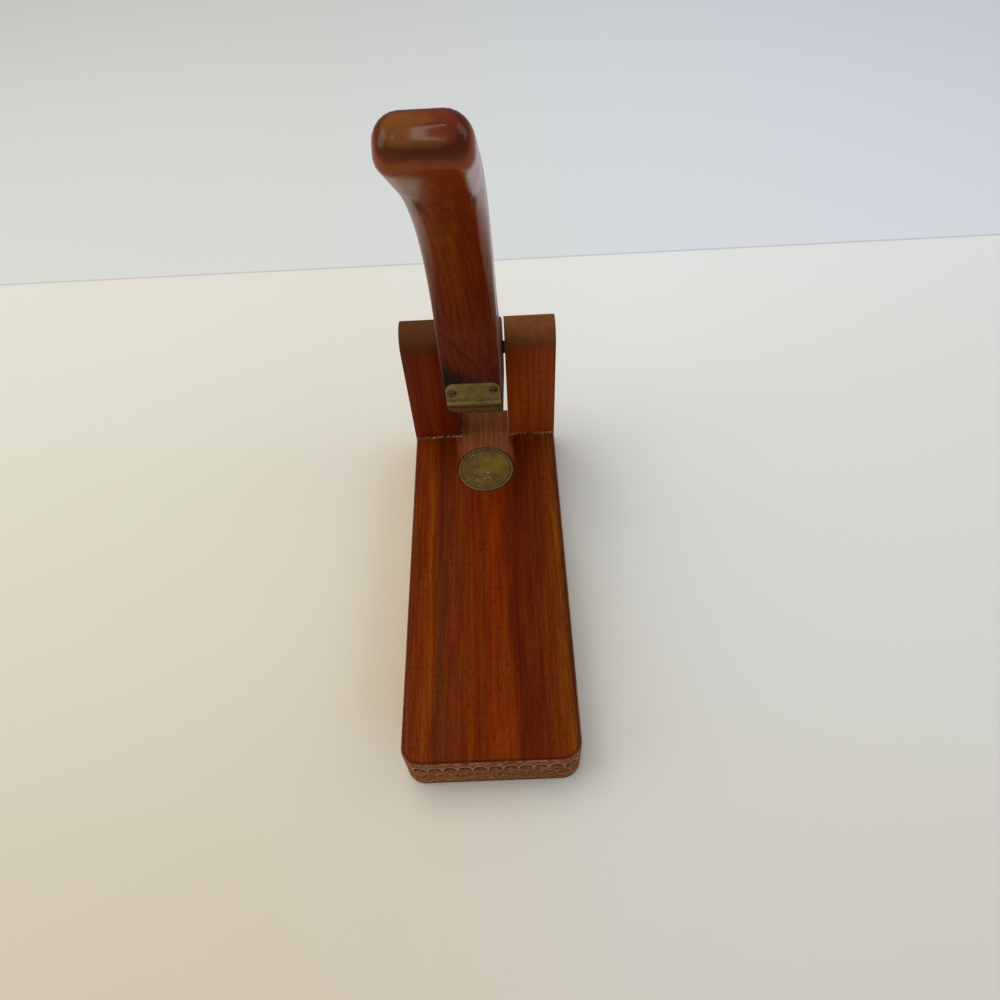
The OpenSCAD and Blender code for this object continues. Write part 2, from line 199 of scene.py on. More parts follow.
def round_edges(piece, radius, segments, test):
    """In edit mode, rounds the edges that pass a test."""
    pick(piece, "edges", test)
    bpy.ops.mesh.bevel(offset=radius, segments=segments, affect="EDGES")


def middle(edge):
    return (edge.verts[0].co + edge.verts[1].co) / 2


def along(edge, axis):
    """True for an edge that lies along an axis."""
    way = (edge.verts[1].co - edge.verts[0].co).normalized()
    return abs(way[axis]) > 0.999


def cut(piece, cutter):
    """Cuts a piece with a closed tool, and throws the tool away."""
    take(piece)
    change = piece.modifiers.new("cut", "BOOLEAN")
    change.operation = "DIFFERENCE"
    change.solver = "EXACT"
    change.object = cutter
    bpy.ops.object.modifier_apply(modifier=change.name)
    bpy.data.objects.remove(cutter)


def join(pieces, name):
    select_none()
    for piece in pieces:
        piece.select_set(True)
    bpy.context.view_layer.objects.active = pieces[0]
    bpy.ops.object.join()
    return named(name)


def smooth(piece, degrees=35):
    take(piece)
    bpy.ops.object.shade_smooth_by_angle(angle=math.radians(degrees))


def ease(piece, width, segments=2, degrees=30):
    """Rounds a piece's sharp edges a little, as handling does."""
    take(piece)
    change = piece.modifiers.new("ease", "BEVEL")
    change.width = width
    change.segments = segments
    change.limit_method = "ANGLE"
    change.angle_limit = math.radians(degrees)
    change.harden_normals = False
    bpy.ops.object.modifier_apply(modifier=change.name)


def bar(name, low, high):
    """A block between two corners."""
    low, high = Vector(low), Vector(high)
    select_none()
    bpy.ops.mesh.primitive_cube_add(size=1, location=(low + high) / 2, scale=high - low)
    piece = named(name)
    place_in_mesh(piece)
    return piece


def rod(name, centre, radius, depth, axis="Z", sides=96):
    turn = {"X": (0, math.pi / 2, 0), "Y": (math.pi / 2, 0, 0), "Z": (0, 0, 0)}[axis]
    select_none()
    bpy.ops.mesh.primitive_cylinder_add(
        vertices=sides, radius=radius, depth=depth, location=centre, rotation=turn)
    piece = named(name)
    place_in_mesh(piece)
    return piece


def countersink(piece, centre, small, large, depth, turn):
    """Cuts the seat of a screw's head, a cone that a turn about X lays along Y."""
    select_none()
    bpy.ops.mesh.primitive_cone_add(
        vertices=48, radius1=small, radius2=large, depth=depth, rotation=(turn, 0, 0), location=centre)
    sink = named("countersink")
    place_in_mesh(sink)
    cut(piece, sink)


# ---------------------------------------------------------------- materials

# Places and lengths in the masks are in metres, in the frame that the solids share.


def add(tree, kind, links=None, **values):
    """Adds a node with its settings. links gives each input a value or another node's output."""
    made = tree.nodes.new(kind)
    for key, value in values.items():
        setattr(made, key, value)
    for socket, value in (links or {}).items():
        if isinstance(value, bpy.types.NodeSocket):
            tree.links.new(value, made.inputs[socket])
        else:
            made.inputs[socket].default_value = value
    return made


def wear(piece, material, body="base"):
    """Gives a piece its material and the body that it rides on."""
    piece.data.materials.clear()
    piece.data.materials.append(material)
    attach(piece, body)
    return piece


def tone(value):
    """A colour for a socket, from a hex code or three numbers. Another node's output stays as it is."""
    if isinstance(value, str):
        value = shade(value)
    return value if isinstance(value, bpy.types.NodeSocket) else (*value, 1.0)


class Paint:
    """A material's node tree, and the ways in which its masks and colours are made.
    A mask is a number or a node's output, and a colour is whatever tone takes."""

    def __init__(self, name):
        self.material = bpy.data.materials.new(name)
        self.material.use_nodes = True
        self.tree = self.material.node_tree
        self.tree.nodes.clear()
        self.place = add(self.tree, "ShaderNodeTexCoord").outputs["Object"]
        self.x, self.y, self.z = add(self.tree, "ShaderNodeSeparateXYZ", {"Vector": self.place}).outputs

    def math(self, operation, first, second=0.0):
        return add(self.tree, "ShaderNodeMath", {0: first, 1: second}, operation=operation).outputs[0]

    def plus(self, first, second):
        return self.math("ADD", first, second)

    def minus(self, first, second):
        return self.math("SUBTRACT", first, second)

    def times(self, product, *factors):
        for factor in factors:
            product = self.math("MULTIPLY", product, factor)
        return product

    def remap(self, value, low, high, to_low=0.0, to_high=1.0, kind="SMOOTHSTEP"):
        return add(
            self.tree, "ShaderNodeMapRange",
            {"Value": value, "From Min": low, "From Max": high, "To Min": to_low, "To Max": to_high},
            interpolation_type=kind).outputs["Result"]

    def band(self, value, start, full, fade, stop):
        """A mask that rises from start to full, and falls from fade to stop."""
        return self.times(self.remap(value, start, full), self.remap(value, stop, fade))

    def spread(self, noise, low, high):
        """Noise, which keeps near its middle, drawn out over a range."""
        return self.remap(noise, 0.3, 0.7, low, high, "LINEAR")

    def noise(self, across, lengthwise, deep, detail=3.0, rough=0.55, warp=0.0, seed=0.0, place=None):
        """Noise drawn out along the grain: its feature sizes in millimetres in X, Y and Z."""
        mapping = add(self.tree, "ShaderNodeMapping", {
            "Vector": self.place if place is None else place, "Location": (seed, seed * 1.7, seed * 0.6),
            "Scale": (1 / (across * MM), 1 / (lengthwise * MM), 1 / (deep * MM))})
        return add(self.tree, "ShaderNodeTexNoise", {
            "Vector": mapping.outputs[0], "Scale": 1.0, "Detail": detail, "Roughness": rough,
            "Distortion": warp}).outputs["Fac"]

    def turned(self, about_x, about_z=0):
        """The place turned by angles in degrees, for grain that doesn't run along Y."""
        turn = (math.radians(about_x), 0, math.radians(about_z))
        return add(self.tree, "ShaderNodeMapping", {"Vector": self.place, "Rotation": turn}).outputs[0]

    def grain(self, place=None, size=1.0):
        """The figure of a straight-grained reddish hardwood whose fibres run along Y.
        Returns its broad bands, fine lines and open pores, each from 0 to 1."""
        bands = self.noise(9 * size, 260, 14, detail=2.0, warp=0.3, seed=3.1, place=place)
        lines = self.noise(1.5 * size, 60, 3, detail=4.0, rough=0.7, seed=7.7, place=place)
        # Real pores are 0.2 mm wide. They are drawn at 0.45 mm, or the render would lose them.
        dashes = self.noise(0.45, 3.6, 0.9, detail=1.0, rough=0.4, seed=1.3, place=place)
        return bands, lines, self.remap(dashes, 0.60, 0.68)

    def ramp(self, factor, *stops):
        made = add(self.tree, "ShaderNodeValToRGB", {"Fac": factor})
        elements = made.color_ramp.elements
        while len(elements) < len(stops):
            elements.new(0.5)
        for element, (position, colour) in zip(elements, stops):
            element.position = position
            element.color = tone(colour)
        return made.outputs["Color"]

    def mix(self, under, mask, over, kind="MIX"):
        """A colour laid over another through a mask."""
        return add(
            self.tree, "ShaderNodeMix", {0: mask, 6: tone(under), 7: tone(over)},
            data_type="RGBA", blend_type=kind, clamp_factor=True).outputs[2]

    def stain(self, under, mask, over):
        """A colour darkened by another through a mask."""
        return self.mix(under, mask, over, "MULTIPLY")

    def finish(self, colour, roughness, relief=None, strength=0.3, distance=0.1 * MM, **numbers):
        """Joins the surface to the output, and returns the material.
        numbers holds the shader's other inputs, with _ for each space."""
        inputs = {key.replace("_", " "): value for key, value in numbers.items()}
        if relief is not None:
            inputs["Normal"] = add(self.tree, "ShaderNodeBump", {
                "Height": relief, "Strength": strength, "Distance": distance}).outputs[0]
        surface = add(self.tree, "ShaderNodeBsdfPrincipled", {
            "Base Color": tone(colour), "Roughness": roughness, **inputs})
        add(self.tree, "ShaderNodeOutputMaterial", {"Surface": surface.outputs[0]})
        return self.material


def arched_cut_light(p, run, row, phase):
    """The painted light of a row of arched cuts: a painted highlight round the edge of each arch, and a
    painted shadow inside the cut under it.
    """
    board = bpy.context.scene.press_board
    turns = p.math("FRACT", p.plus(p.math("DIVIDE", run, board.gouge_pitch), 0.5 - phase))
    sideways = p.times(p.minus(turns, 0.5), board.gouge_pitch)
    above = p.math("DIVIDE", p.minus(p.z, row), ARCH_STRETCH)
    distance = p.math("SQRT", p.plus(p.times(sideways, sideways), p.times(above, above)))
    upper = p.remap(above, -1.0 * MM, 0.4 * MM)
    edge = board.gouge_radius
    lip_highlight = p.band(distance, edge - 0.1 * MM, edge + 0.15 * MM, edge + 0.3 * MM, edge + 0.7 * MM)
    hollow_shadow = p.band(distance, edge - 2.9 * MM, edge - 1.6 * MM, edge - 0.15 * MM, edge + 0.05 * MM)
    return p.times(lip_highlight, upper), p.times(hollow_shadow, upper)


def planed_board_wood():
    """Reddish hardwood, planed and rubbed with varnish: satin, with the colour deep in it.
    The end near the anvil is worn bare, and the carved rim is matte and paler, with painted shade and sheen
    on its arris and painted light in its cuts."""
    board, look = bpy.context.scene.press_board, bpy.context.scene.press_finish
    p = Paint("planed varnished hardwood board")
    bands, lines, pores = p.grain()
    # The bands of the board lie at fixed places across it, and wander along the grain.
    wander = p.noise(30, 120, 30, detail=1.0, seed=5.0)
    across = p.plus(p.x, p.spread(wander, -0.0013, 0.0013))
    across = p.remap(across, BASE_LOW.x, BASE_HIGH.x, kind="LINEAR")
    # The two stops at the right edge paint a dark line of shade and a pinkish sheen along the right arris.
    colour = p.ramp(
        across, (0.00, "#6e3310"), (0.09, "#6c2a02"), (0.135, look.board_streak), (0.165, "#6a2c03"),
        (0.20, "#54260a"), (0.26, "#662a04"), (0.42, look.board), (0.55, "#762c02"), (0.63, "#6c2601"),
        (0.68, look.board_dark), (0.78, "#602402"), (0.90, "#6a2c02"), (0.95, "#743e08"),
        (0.985, "#5e2c12"), (1.00, "#78422a"))
    mottle = p.noise(2.6, 34, 5, detail=4.0, rough=0.65, seed=14.0)
    colour = p.mix(colour, p.remap(bands, 0.52, 0.74, 0.0, 0.35), look.board_streak)
    colour = p.mix(colour, p.remap(bands, 0.48, 0.26, 0.0, 0.4), look.board_dark)
    colour = p.stain(colour, p.remap(mottle, 0.6, 0.35, 0.0, 0.65), "#d0b094")
    colour = p.stain(colour, p.remap(lines, 0.62, 0.36, 0.0, 0.6), "#d09a7e")
    colour = p.mix(colour, p.times(pores, 0.7), "#381202")

    # Worn wood behind the anvil and between the cheeks, with a ragged margin.
    margin = p.spread(p.noise(3, 9, 3, seed=9.0), -0.004, 0.004)
    side = p.math("ABSOLUTE", p.x)
    narrow = p.remap(p.plus(side, p.times(margin, 0.4)), 0.0165, 0.0115)
    rubbed = p.times(narrow, p.remap(p.plus(p.y, margin), 0.044, 0.074))
    worn = p.stain(look.worn, p.remap(lines, 0.64, 0.34, 0.0, 0.7), "#c09880")
    worn = p.mix(worn, p.times(pores, 0.4), "#3a1a10")
    colour = p.mix(colour, rubbed, worn)
    # Beside the anvil the varnish is whole, and dark from the fingers that place the nuts.
    beside = p.times(p.band(side, 0.013, 0.017, 0.022, 0.030), p.remap(p.y, 0.030, 0.062, 0.0, 0.35))
    colour = p.mix(colour, beside, "#481204")

    # Above the carving the arris is rubbed matte, with a painted pinkish sheen, below a painted dark line of
    # shade.
    # The sides were carved after they were stained, and stay matte and paler.
    rim = p.remap(p.z, 0.02475, 0.02435)
    speck = p.noise(2.2, 2.2, 1.4, seed=2.0)
    raw = p.ramp(speck, (0.32, "#603214"), (0.5, "#7c4a2a"), (0.68, "#966442"))
    low = p.times(p.remap(p.z, 0.018, 0.011), p.remap(p.x, 0.02, -0.02, 0.1, 0.9))
    raw = p.mix(raw, p.times(low, p.remap(speck, 0.4, 0.6)), "#9a6232")
    # Painted shade darkens the rim towards its foot, where it meets the table.
    raw = p.mix(raw, p.remap(p.z, 0.0045, 0.001, 0.0, 0.6), "#4a2814")
    run = add(p.tree, "ShaderNodeAttribute", attribute_name="rim_run").outputs["Fac"]
    carved = p.remap(p.y, CHEEK_LOW.y - 6 * MM, CHEEK_LOW.y - 7 * MM)
    # Each row of cuts gets a painted highlight round its arches and a painted shadow inside them, at the
    # shares given.
    for row, phase, pale, deep in (
            (board.upper_row, board.row_phase, 0.9, 0.95),
            (board.lower_row, board.row_phase + 0.5, 0.15, 0.45)):
        lip_highlight, hollow_shadow = arched_cut_light(p, run, row, phase)
        raw = p.mix(raw, p.times(lip_highlight, carved, pale), "#b4866a")
        raw = p.mix(raw, p.times(hollow_shadow, carved, deep), "#421c0a")
    colour = p.mix(colour, rim, raw)
    # A painted dark line of shade along the top arris.
    arris_shade = p.band(p.z, 0.02440, 0.02475, 0.02505, 0.02535)
    colour = p.mix(colour, p.times(arris_shade, 0.55), "#300c03")

    gloss = p.spread(p.noise(14, 30, 14, seed=4.0), 0.38, 0.48)
    roughness = p.plus(gloss, p.times(p.math("MAXIMUM", rubbed, rim), 0.26))
    relief = p.minus(p.times(lines, 0.35), p.times(pores, 0.5))
    return p.finish(colour, roughness, relief, IOR=1.5, Specular_IOR_Level=0.05)


def cheek_wood():
    """The same hardwood stood on end, darker, in a satin varnish that has worn off the round tops, which also
    carry a painted sheen.
    """
    look = bpy.context.scene.press_finish
    p = Paint("satin varnished hardwood cheeks")
    bands, lines, pores = p.grain(p.turned(90), 0.8)
    side = p.remap(p.x, -0.01, 0.01)
    colour = p.mix(look.cheek, side, "#903f0b")
    colour = p.mix(colour, p.remap(bands, 0.5, 0.75, 0.0, 0.4), "#8a3c0c")
    colour = p.mix(colour, p.remap(bands, 0.48, 0.26, 0.0, 0.3), "#5c1a04")
    colour = p.stain(colour, p.remap(lines, 0.62, 0.36, 0.0, 0.6), "#c48e74")
    colour = p.mix(colour, p.times(pores, 0.35), "#2e0e04")
    # The round tops are worn bare of varnish, and their colour is also a painted sheen where they face up,
    # darker on the left cheek than on the right.
    patch = p.noise(9, 6, 4, detail=2.0, seed=6.0)
    bare = p.remap(p.plus(p.z, p.spread(patch, -0.001, 0.001)), 0.0815, 0.0925)
    dust_and_sheen = p.noise(3, 3, 3, detail=4.0, seed=6.6)
    top = p.mix("#4a2c15", side, p.ramp(dust_and_sheen, (0.35, "#583418"), (0.65, "#66401f")))
    colour = p.mix(colour, p.times(bare, 0.9), top)
    roughness = p.plus(p.times(bare, 0.25), 0.45)
    relief = p.minus(p.times(lines, 0.35), p.times(pores, 0.5))
    return p.finish(colour, roughness, relief, 0.25, IOR=1.5, Specular_IOR_Level=0.08)


def polished_lever_wood():
    """The lever's hardwood in gloss varnish, lighter towards its end,
    and darker with painted shade low on the neck and round the shoe."""
    look = bpy.context.scene.press_finish
    p = Paint("gloss varnished hardwood lever")
    # The blank was sawn so that its fibres lie between the neck and the handle.
    bands, lines, pores = p.grain(p.turned(72, 4), 0.8)
    height = p.remap(p.z, 0.115, 0.235, kind="LINEAR")
    # Darker towards the bottom: the low stops paint the shade on the lower lever.
    colour = p.ramp(
        height, (0.0, "#50201a"), (0.16, "#662610"), (0.4, look.lever), (0.7, "#7c2e06"), (1.0, "#7c3004"))
    # An orange streak runs up the middle of the front, between redder sides.
    offset = p.plus(p.plus(p.x, p.times(height, 0.0046)), p.spread(bands, -0.005, 0.005))
    streak = p.times(
        p.band(offset, -0.010, -0.003, -0.001, 0.006), p.remap(height, 0.1, 0.8, 0.15, 0.9))
    colour = p.mix(colour, streak, "#7e4008")
    colour = p.mix(colour, p.remap(bands, 0.48, 0.28, 0.0, 0.5), "#561404")
    # The end grain of the handle's end shows no streaks.
    fine = p.remap(height, 0.99, 0.90, 0.0, 0.6)
    colour = p.stain(colour, p.times(p.remap(lines, 0.62, 0.36), fine), "#c08a70")
    colour = p.mix(colour, p.times(pores, 0.6, fine), "#2e0c04")
    # Round the arris of the handle's end a painted dark ring of shade, and the end itself painted a darker
    # brown, orange at the left and red at the right, as its shade.
    facing = add(p.tree, "ShaderNodeVectorMath", {
        0: add(p.tree, "ShaderNodeTexCoord").outputs["Normal"], 1: END_WAY},
        operation="DOT_PRODUCT").outputs["Value"]
    end = p.remap(p.z, 0.236, 0.244)
    blotch = p.plus(p.x, p.spread(p.noise(6, 4, 4, seed=5.5), -0.006, 0.006))
    end_shade_colour = p.mix("#6c3c12", p.remap(blotch, -0.005, 0.005), "#62240e")
    colour = p.mix(colour, p.times(p.remap(facing, 0.62, 0.90), end), end_shade_colour)
    colour = p.mix(colour, p.times(p.band(facing, 0.40, 0.66, 0.74, 0.92), end, 0.7), "#340c02")
    # A dark line of the figure crosses the neck slantwise above the shoe.
    bend = p.noise(12, 12, 12, detail=1.0, seed=3.0)
    slant = p.plus(p.plus(p.z, p.times(p.x, 1.3)), p.spread(bend, -0.002, 0.002))
    fault = p.times(p.band(slant, 0.1246, 0.1262, 0.1264, 0.1284), p.remap(p.x, 0.006, -0.001))
    colour = p.mix(colour, p.times(fault, 0.5), "#340c08")
    # Painted shade above the shoe, thicker at the left.
    cloud = p.noise(7, 7, 7, seed=8.0)
    low = p.plus(p.plus(p.z, p.spread(cloud, -0.003, 0.003)), p.times(p.x, 0.9))
    low_shade = p.times(p.remap(low, 0.1185, 0.1090, 0.0, 0.9), p.remap(p.y, 0.052, 0.033, 0.3, 1.0))
    colour = p.mix(colour, low_shade, "#241410")
    gloss = p.spread(p.noise(10, 10, 20, seed=4.0), 0.24, 0.32)
    roughness = p.plus(gloss, p.remap(p.z, 0.17, 0.12, 0.0, 0.12))
    relief = p.times(p.minus(p.times(lines, 0.3), p.times(pores, 0.35)), fine)
    # The varnish is full on the grip, thin on the greasy neck, and dulled by fingers under the end.
    dulled = p.times(
        p.remap(facing, 0.3, -0.05), p.remap(p.z, 0.195, 0.22), p.remap(p.x, 0.004, -0.003, 0.0, 0.75))
    varnish = p.times(p.remap(p.z, 0.13, 0.17, 0.08, 0.4), p.minus(1.0, dulled))
    return p.finish(
        colour, roughness, relief, IOR=1.5, Specular_IOR_Level=0.06,
        Coat_Weight=varnish, Coat_Roughness=0.11, Coat_IOR=1.5)


def old_brass(name, dull, bright, roughness, marks):
    """Rolled brass, tarnished olive brown in blotches, with dark flecks and pale scratches.
    marks lays the marks of its own piece over the colour."""
    p = Paint(name)
    blotch = p.noise(4, 4, 4, detail=5.0, rough=0.65, seed=2.2)
    fleck = p.noise(0.9, 0.9, 0.9, detail=2.0, seed=6.1)
    scratch = p.noise(9, 0.35, 0.35, detail=2.0, seed=4.4)
    colour = p.ramp(blotch, (0.32, dull), (0.68, bright))
    colour = p.mix(colour, p.remap(fleck, 0.60, 0.72, 0.0, 0.5), "#33240f")
    colour = p.mix(colour, p.remap(scratch, 0.64, 0.74, 0.0, 0.25), "#b09a66")
    relief = p.plus(p.times(blotch, 0.8), p.times(scratch, 0.3))
    rough = p.spread(blotch, roughness, roughness + 0.12)
    return p.finish(marks(p, colour), rough, relief, 0.4, 0.2 * MM, Metallic=0.6)


def shoe_marks(p, colour):
    """The strip has a painted highlight along its bend and painted shade in the fold under it, and is
    tarnished brown below, with painted shade there too.
    """
    ragged = p.noise(2.5, 2.5, 2.5, seed=3.3)
    wave = p.plus(p.z, p.spread(ragged, -0.0012, 0.0012))
    # Below the bend the brass is tarnished brown, and darkened with painted shade where that face turns down.
    tarnish_and_shade = p.mix("#4e3016", p.remap(ragged, 0.42, 0.62), "#806032")
    colour = p.mix(colour, p.times(p.remap(wave, 0.1010, 0.0990), 0.8), tarnish_and_shade)
    # Bands across the bend: the bright one is a painted highlight and the dark one under it painted shade;
    # the thin dark line above and the paler band below are drawn across the brass.
    for height, half, code, share in (
            (0.1043, 0.0005, "#3a2a14", 0.5), (0.1025, 0.0013, "#b8a068", 0.45),
            (0.0988, 0.0014, "#24160a", 0.85), (0.0950, 0.0018, "#8a6c38", 0.5)):
        line = p.band(wave, height - half, height, height, height + half)
        colour = p.mix(colour, p.times(line, share), code)
    return colour


def disc_marks(p, colour):
    """The disc has a yellow patch right of its middle, bright dents with painted glints where nuts have
    cracked, and a painted shadow inside its rim.
    """

    def reach(x, y):
        """The distance from a point of the disc's face, which is given in millimetres from its middle."""
        point = (DISC_CENTRE.x + x * MM, DISC_CENTRE.y + y * MM, DISC_HIGH.z)
        distance = add(p.tree, "ShaderNodeVectorMath", {0: p.place, 1: point}, operation="DISTANCE")
        return distance.outputs["Value"]

    def spot(x, y, edge, core):
        return p.remap(reach(x, y), edge * MM, core * MM)

    cloud = p.noise(7, 7, 7, seed=21.0)
    yellow = p.times(spot(5, 4, 10.5, 3), p.remap(cloud, 0.3, 0.6, 0.3, 1.0), 0.7)
    colour = p.mix(colour, yellow, "#a88c26")
    dashes = p.noise(0.5, 3, 1, detail=1.0, seed=15.0)
    colour = p.mix(colour, p.remap(dashes, 0.66, 0.72, 0.0, 0.6), "#2e200c")
    # The dents are rubbed bright, and their brightness is partly painted glints.
    dents = p.noise(1.0, 1.0, 1.0, seed=12.0)
    near = p.math("MAXIMUM", spot(-1.5, -4.5, 6.5, 1), p.times(spot(-7, 9, 4, 1), 0.8))
    colour = p.mix(colour, p.times(p.remap(dents, 0.57, 0.63), near), "#d8c48a")
    out = reach(0, 0)
    # A painted shadow along the step inside the rim.
    ring = p.band(
        out, DISC_RADIUS - 2.1 * MM, DISC_RADIUS - 1.6 * MM, DISC_RADIUS - 1.4 * MM, DISC_RADIUS - 0.9 * MM)
    colour = p.mix(colour, p.times(ring, 0.45), "#2a1c0c")
    rim = p.remap(out, DISC_RADIUS - 1.2 * MM, DISC_RADIUS - 0.6 * MM)
    return p.mix(colour, p.times(rim, 0.4), "#8a7048")


def dark_steel(name, middling):
    """Steel gone brown-black with age, a little brighter where it is rubbed."""
    p = Paint(name)
    blotch = p.noise(1.2, 1.2, 1.2, seed=1.0)
    colour = p.ramp(blotch, (0.3, "#1d1714"), (0.5, middling), (0.8, "#8a7e6a"))
    return p.finish(colour, p.spread(blotch, 0.5, 0.36), blotch, Metallic=0.85)


def crumbled_glue():
    """Whitish glue and filler that has squeezed out of the joints and crumbled."""
    p = Paint("crumbled white glue")
    speck = p.noise(1.2, 1.2, 1.2, seed=3.0)
    colour = p.ramp(speck, (0.38, "#64402e"), (0.55, "#8a6654"), (0.72, "#b89a88"))
    return p.finish(colour, 0.85, Specular_IOR_Level=0.1)


def table_and_wall():
    """A cream painted table, cooler at the right, which runs back to a pale wall."""
    p = Paint("cream table and pale wall")
    far = p.remap(p.y, -0.25, 0.27, kind="LINEAR")
    cream = p.ramp(far, (0.0, "#c2b49c"), (0.5, "#cdc7b4"), (1.0, "#d5d0c2"))
    cool = p.ramp(far, (0.0, "#c4bfb2"), (0.5, "#d0cec6"), (1.0, "#dad9d3"))
    table = p.mix(cream, p.remap(p.x, -0.12, 0.12), cool)
    # The varnished side of the board throws a warm glow on the table at its left.
    glow = p.times(
        p.band(p.x, -0.085, -0.042, -0.02, 0.0),
        p.remap(p.y, 0.12, 0.07, 0.0, 0.6), p.remap(p.y, -0.095, -0.055))
    table = p.stain(table, glow, "#fbe9cf")
    wall = p.mix("#cccbc4", p.remap(p.x, -0.25, 0.35), "#d0d3d6")
    colour = p.mix(table, p.remap(p.y, 0.2735, 0.2745), wall)
    # A painted shade along the corner where the table meets the wall.
    corner_shade = p.band(p.y, 0.2722, 0.2735, 0.2739, 0.2752)
    colour = p.mix(colour, p.times(corner_shade, 0.45), "#8a8e96")
    return p.finish(colour, 0.6, Specular_IOR_Level=0.25)


# ---------------------------------------------------------------- the board


def gouge_cutter(radius, depth, reach):
    """One chip of a gouge cut in a face that looks along -Y: arched and deepest above, running out below."""
    sides = 10
    select_none()
    bpy.ops.mesh.primitive_circle_add(
        vertices=2 * sides, radius=radius, fill_type="NGON", rotation=(math.pi / 2, 0, 0))
    chip = named("gouge_chip")
    place_in_mesh(chip)
    bpy.ops.object.mode_set(mode="EDIT")
    # The lower half of the ring is drawn down to where the cut runs out.
    pick(chip, "verts", lambda v: v.co.z < -radius * 0.1)
    bpy.ops.transform.resize(value=(0.8, 1, 1), center_override=(0, 0, 0))
    bpy.ops.transform.translate(value=(0, 0, -(reach - 2 * radius)))
    pick(chip, "verts", lambda v: v.co.z > 0)
    bpy.ops.transform.resize(value=(1, 1, ARCH_STRETCH), center_override=(0, 0, 0))
    bpy.ops.mesh.select_all(action="SELECT")
    bpy.ops.mesh.extrude_region_move(TRANSFORM_OT_translate={"value": (0, depth, 0)})
    # The floor slopes from full depth at the arch out to the face at the foot,
    # and the chip's outer side stands clear of the face.
    mesh = bmesh.from_edit_mesh(chip.data)
    bottom = min(v.co.z for v in mesh.verts)
    for vert in mesh.verts:
        if vert.co.y > depth / 2:
            vert.co.y = depth * (vert.co.z - bottom) / (ARCH_STRETCH * radius - bottom) - 0.02 * MM
        else:
            vert.co.y = -0.6 * MM
    bmesh.update_edit_mesh(chip.data)
    bpy.ops.mesh.select_all(action="SELECT")
    bpy.ops.mesh.normals_make_consistent(inside=False)
    bpy.ops.object.mode_set(mode="OBJECT")
    return chip


def rim_place(run, half_width, half_length, corner):
    """The place on the board's rim at a run from the middle of its front, and the way the rim faces there."""
    side = 1 if run > 0 else -1
    front = half_width - corner
    turn = min(math.pi / 2, max(0.0, (abs(run) - front) / corner))
    beyond = max(0.0, abs(run) - front - corner * math.pi / 2)
    x = min(abs(run), front) + corner * math.sin(turn)
    y = beyond - half_length + corner * (1 - math.cos(turn))
    return Vector((side * x, y, 0)), side * turn


def rim_run(point, half_width, half_length, corner):
    """How far along the rim a point of the board lies, from the middle of the front."""
    inner_x, inner_y = half_width - corner, half_length - corner
    over_x, over_y = abs(point.x) - inner_x, -point.y - inner_y
    if over_x <= 0:
        run = abs(point.x)
    elif over_y <= 0:
        run = inner_x + corner * math.pi / 2 - over_y
    else:
        run = inner_x + corner * math.atan2(over_x, over_y)
    return math.copysign(run, point.x)


class PRESS_OT_board(bpy.types.Operator):
    """Makes the carved base board, with the recess for the anvil and the notches for the cheeks"""

    bl_idname = "press.board"
    bl_label = "Carved base board"

    def execute(self, context):
        board = context.scene.press_board
        piece = bar("carved_base_board", BASE_LOW, BASE_HIGH)
        half_width, half_length, top = BASE_HIGH.x, BASE_HIGH.y, BASE_HIGH.z
        bpy.ops.object.mode_set(mode="EDIT")
        round_edges(piece, board.corner_radius, 14, lambda e: along(e, 2) and middle(e).y < 0)
        round_edges(piece, board.arris, 7, lambda e: all(v.co.z > top - NEAR for v in e.verts))
        round_edges(piece, board.foot, 3, lambda e: all(v.co.z < NEAR for v in e.verts))
        bpy.ops.object.mode_set(mode="OBJECT")

        # Each notch is cut from a gap before its cheek to well past the board's side, rear and faces.
        gap, past_side, past_rear, below, above = 0.1 * MM, 0.05, 0.12, -0.01, 0.05
        for side in (-1, 1):
            start, stop = sorted((side * (CHEEK_LOW.x - gap), side * past_side))
            cut(piece, bar("notch", (start, CHEEK_LOW.y - gap, below), (stop, past_rear, above)))
        # The disc's hole is wider than the disc by the dark ring that is seen round it.
        depth, ring = 0.02, 0.6 * MM
        centre = (0, DISC_CENTRE.y, DISC_LOW.z + depth / 2)
        cut(piece, rod("recess", centre, DISC_RADIUS + ring, depth, sides=128))

        chips = []
        rng = random.Random(7)
        rim = (half_width, half_length, board.corner_radius)
        # The cuts stop short of the cheeks.
        stop = half_width + half_length + CHEEK_LOW.y - 8 * MM
        cut_height = 7.4 * MM
        pattern = gouge_cutter(board.gouge_radius, board.gouge_depth, cut_height)
        for height, phase, share in (
                (board.upper_row, board.row_phase, 1.0), (board.lower_row, board.row_phase + 0.5, 0.6)):
            count = round(stop / board.gouge_pitch)
            for i in range(-count, count + 1):
                spot, turn = rim_place((i + phase) * board.gouge_pitch, *rim)
                chip = pattern.copy()
                chip.data = pattern.data.copy()
                context.scene.collection.objects.link(chip)
                chip.location = spot + Vector((0, 0, height + rng.uniform(-0.12, 0.12) * MM))
                chip.rotation_euler = (0, rng.uniform(-0.05, 0.05), turn)
                chip.scale = (
                    rng.uniform(0.97, 1.03), share * rng.uniform(0.85, 1.1), rng.uniform(0.98, 1.04))
                chips.append(chip)
        bpy.data.objects.remove(pattern)
        tools = join(chips, "gouge_chips")
        place_in_mesh(tools)
        cut(piece, tools)
        marks = piece.data.attributes.new("rim_run", "FLOAT", "POINT")
        for vertex, mark in zip(piece.data.vertices, marks.data):
            mark.value = rim_run(vertex.co, *rim)
        smooth(piece, 28)
        wear(piece, planed_board_wood())
        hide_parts("base_board")
        return {"FINISHED"}


